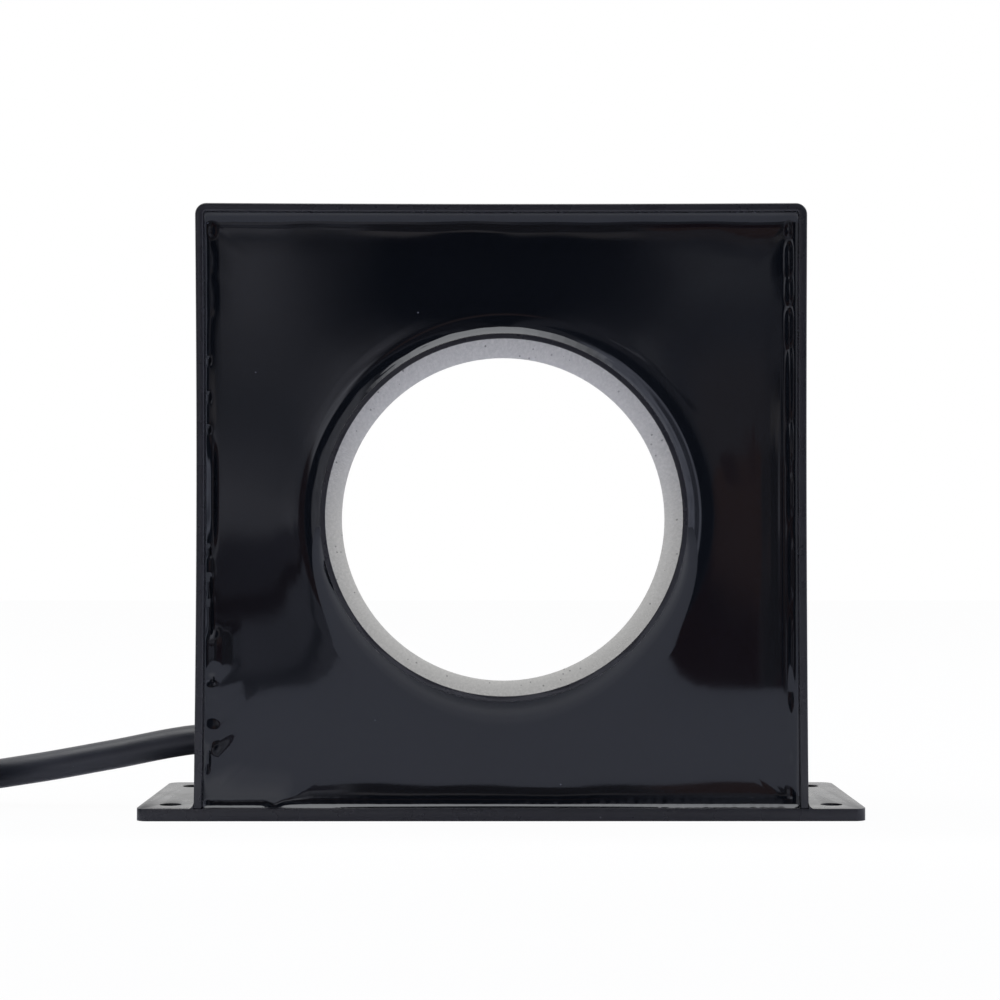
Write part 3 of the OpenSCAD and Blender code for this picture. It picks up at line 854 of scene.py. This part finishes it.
def make_lamps():
    """Soft boxes over the table that look down, each wider, so that their light ends softly."""
    for step in range(LAMPS):
        width = LAMP_W + LAMP_W_STEP * step
        data = bpy.data.lights.new("softbox_%d" % step, "AREA")
        data.shape = "RECTANGLE"
        data.size, data.size_y = width, LAMP_DEPTH
        data.energy = LAMP_POWER * width
        lamp = bpy.data.objects.new("softbox_%d" % step, data)
        bpy.context.scene.collection.objects.link(lamp)
        lamp.location = (LAMP_X, LAMP_Y, LAMP_Z + LAMP_Z_STEP * step)


def patch_of_room():
    """Lays one soft-edged patch of a colour over the room's colour, by heading and height."""
    tree, given, out = effect(
        "patch of room",
        [("Room", "NodeSocketColor", (0, 0, 0, 1)), ("Patch", "NodeSocketColor", (1, 1, 1, 1)),
         ("Heading", "NodeSocketFloat", 0.0), ("Height", "NodeSocketFloat", 0.0),
         ("Left", "NodeSocketFloat", -1.0), ("Right", "NodeSocketFloat", 1.0),
         ("Low", "NodeSocketFloat", -1.0), ("High", "NodeSocketFloat", 1.0),
         ("Soft", "NodeSocketFloat", 0.02)],
        [("Room", "NodeSocketColor")])
    links = tree.links
    share = None
    for value, edge, inwards in (("Heading", "Left", 1), ("Heading", "Right", -1),
                                 ("Height", "Low", 1), ("Height", "High", -1)):
        far = add(tree, "ShaderNodeMath", operation="ADD")
        near = add(tree, "ShaderNodeMath", operation="SUBTRACT")
        for side in (far, near):
            links.new(given.outputs[edge], side.inputs[0])
            links.new(given.outputs["Soft"], side.inputs[1])
        fade = add(tree, "ShaderNodeMapRange", interpolation_type="SMOOTHSTEP")
        fade.inputs["To Min"].default_value = 0 if inwards > 0 else 1
        fade.inputs["To Max"].default_value = 1 if inwards > 0 else 0
        links.new(given.outputs[value], fade.inputs["Value"])
        links.new(near.outputs[0], fade.inputs["From Min"])
        links.new(far.outputs[0], fade.inputs["From Max"])
        if share is None:
            share = fade.outputs["Result"]
        else:
            both = add(tree, "ShaderNodeMath", operation="MULTIPLY")
            links.new(share, both.inputs[0])
            links.new(fade.outputs["Result"], both.inputs[1])
            share = both.outputs[0]
    lay = add(tree, "ShaderNodeMix", data_type="RGBA")
    links.new(share, lay.inputs["Factor"])
    links.new(given.outputs["Room"], lay.inputs[6])
    links.new(given.outputs["Patch"], lay.inputs[7])
    links.new(lay.outputs[2], out.inputs["Room"])
    return tree


# The room in front of the table, one patch over another: colour, left, right, low and high
# edges in degrees from straight ahead of the cast face, and softness in degrees
BARE_ROOM = (0.165, 0.165, 0.195, 1)
ROOM = [
    ((0.43, 0.42, 0.465), -60, -1.6, -90, 15, 3.2),         # pale wall
    ((0.30, 0.30, 0.34), -60, -3.4, 2.0, 4.6, 1.6),         # its shaded middle
    ((0.50, 0.49, 0.54), -14, -3.6, 5.0, 10, 1.6),          # its lit upper part
    ((0.49, 0.48, 0.53), -14, -4.6, 0.1, 1.2, 0.5),         # shelf edge
    ((0.165, 0.15, 0.18), -14, -4.4, -1.4, 0.05, 0.18),     # shadow under it
    ((0.28, 0.28, 0.33), -14, -3.9, -9.0, -1.95, 0.18),     # drawer
    ((0.06, 0.035, 0.035), -14, -4.1, -2.05, -1.35, 0.14),  # dark rail
    ((0.10, 0.10, 0.12), -14, -3.9, -3.9, -3.5, 0.15),      # gap under the drawer
    ((0.10, 0.055, 0.05), -22, -12.6, -12, 6, 0.8),         # cupboard
    ((0.025, 0.028, 0.038), -50, -22, -12, 60, 2.0),        # dark curtain
    ((0.06, 0.055, 0.065), -17, 4, 12, 78, 2.5),            # dark ceiling
    ((1.0, 1.0, 1.08), -22, -10.8, 6, 14, 2.0),             # window
    ((0.55, 0.55, 0.6), -95, -52, -10, 40, 4.0),            # side wall
    ((0.02, 0.022, 0.03), -4.9, 3.8, 3.2, 60, 2.2),         # dark cloth over the camera
    ((0.19, 0.12, 0.105), -14, 3.5, 17, 20, 1.2),           # brown beam
    ((0.10, 0.09, 0.095), -4.0, 4.2, -9.0, 2.6, 0.5),       # stand
    ((0.36, 0.33, 0.33), -4.0, 4.0, 2.7, 4.1, 0.5),         # its lit top
    ((0.21, 0.19, 0.205), 4.0, 9.5, -3.9, 4.5, 1.0),        # grey screen
    ((0.21, 0.13, 0.115), 4.2, 11.5, -2.0, 2.3, 0.25),      # brown door
    ((0.085, 0.04, 0.04), 4.2, 11.5, -9.0, -1.7, 0.9),      # its darker foot
    ((0.15, 0.09, 0.085), 5.95, 6.5, 1.5, 2.8, 0.15),       # coats over the door
    ((0.15, 0.09, 0.085), 5.25, 5.6, 1.5, 2.45, 0.12),
    ((0.13, 0.08, 0.08), 7.0, 7.9, 1.5, 2.6, 0.15),
    ((0.27, 0.27, 0.30), 4.9, 7.3, 6.2, 7.5, 0.8),          # haze on the far wall
    ((0.05, 0.05, 0.06), 6.4, 7.0, 6.8, 7.3, 0.3),          # hook
    ((0.045, 0.045, 0.055), 7.25, 7.6, 4.6, 7.6, 0.2),      # post
    ((0.034, 0.038, 0.052), 11.5, 36, -12, 46, 2.0),        # dark corner
    ((0.5, 0.5, 0.55), 6.9, 7.6, 8.3, 12, 0.3),             # lit edge
    ((0.86, 0.89, 1.06), 37, 130, -10, 56, 4.0),            # pale screen
    ((1.15, 1.18, 1.35), 74, 130, 24, 56, 5.0),             # its bright top
    ((0.28, 0.29, 0.35), 47, 66, -9, 34, 4.0),              # dark bar in front of it
]

# How finely and how far in radians the patches' edges are stirred
STIR_SCALE, STIR = 30, 0.022
# How finely and between what shares the room's light changes from place to place
BLOTCH_SCALE, BLOTCH = 14, (0.85, 1.25)
# From where to where, along Y, the room turns into the white behind the table
WHITE_FROM, WHITE_FULL = -0.1, 0.3


def room_way(tree, place):
    """Heading and height of a way into the room, a little stirred."""
    split = add(tree, "ShaderNodeSeparateXYZ")
    heading = add(tree, "ShaderNodeMath", operation="ARCTAN2")
    height = add(tree, "ShaderNodeMath", operation="ARCSINE")
    stir = add(tree, "ShaderNodeTexNoise", noise_dimensions="3D", Scale=STIR_SCALE, Detail=3)
    parts = add(tree, "ShaderNodeSeparateColor")
    links = tree.links
    links.new(place, split.inputs[0])
    links.new(split.outputs["X"], heading.inputs[0])
    links.new(times(tree, split.outputs["Y"], -1), heading.inputs[1])
    links.new(split.outputs["Z"], height.inputs[0])
    links.new(place, stir.inputs["Vector"])
    links.new(stir.outputs["Color"], parts.inputs[0])
    stirred = []
    for angle, part in ((heading, "Red"), (height, "Green")):
        shift = add(tree, "ShaderNodeMath", operation="MULTIPLY_ADD")
        shift.inputs[1].default_value = STIR
        links.new(parts.outputs[part], shift.inputs[0])
        links.new(angle.outputs[0], shift.inputs[2])
        centred = add(tree, "ShaderNodeMath", operation="SUBTRACT")
        centred.inputs[1].default_value = STIR / 2
        links.new(shift.outputs[0], centred.inputs[0])
        stirred.append(centred.outputs[0])
    return stirred, split.outputs["Y"]


def room_colour(tree, place, heading, height):
    """The room's patches laid over each other, with light that isn't quite even."""
    links = tree.links
    over = patch_of_room()
    colour = None
    for shade, left, right, low, high, soft in ROOM:
        patch = placed(tree, over, Room=BARE_ROOM, Patch=(*shade, 1), Left=math.radians(left),
                       Right=math.radians(right), Low=math.radians(low),
                       High=math.radians(high), Soft=math.radians(soft))
        links.new(heading, patch.inputs["Heading"])
        links.new(height, patch.inputs["Height"])
        if colour:
            links.new(colour, patch.inputs["Room"])
        colour = patch.outputs["Room"]
    blotch = add(tree, "ShaderNodeTexNoise", noise_dimensions="3D", Scale=BLOTCH_SCALE, Detail=4)
    level = add(tree, "ShaderNodeMapRange", From_Min=0.3, From_Max=0.7, To_Min=BLOTCH[0],
                To_Max=BLOTCH[1])
    uneven = add(tree, "ShaderNodeVectorMath", operation="SCALE")
    links.new(place, blotch.inputs["Vector"])
    links.new(blotch.outputs["Fac"], level.inputs["Value"])
    links.new(colour, uneven.inputs[0])
    links.new(level.outputs["Result"], uneven.inputs["Scale"])
    return uneven.outputs[0]


def make_world():
    """White for the camera and behind, and a dim room in front of the table."""
    world = bpy.data.worlds.new("studio")
    bpy.context.scene.world = world
    world.use_nodes = True
    tree = world.node_tree
    place = add(tree, "ShaderNodeTexCoord").outputs["Generated"]
    (heading, height), ahead = room_way(tree, place)
    fade = add(tree, "ShaderNodeMapRange", interpolation_type="SMOOTHSTEP",
               From_Min=WHITE_FROM, From_Max=WHITE_FULL)
    behind = add(tree, "ShaderNodeMath", operation="MAXIMUM")
    eye = add(tree, "ShaderNodeLightPath")
    white = add(tree, "ShaderNodeMix", data_type="RGBA")
    white.inputs[7].default_value = (1, 1, 1, 1)
    links = tree.links
    links.new(ahead, fade.inputs["Value"])
    links.new(fade.outputs["Result"], behind.inputs[0])
    links.new(eye.outputs["Is Camera Ray"], behind.inputs[1])
    links.new(behind.outputs[0], white.inputs["Factor"])
    links.new(room_colour(tree, place, heading, height), white.inputs[6])
    links.new(white.outputs[2], tree.nodes["Background"].inputs["Color"])


make_table()
make_lamps()
make_world()

bpy.context.scene.view_settings.view_transform = "Standard"
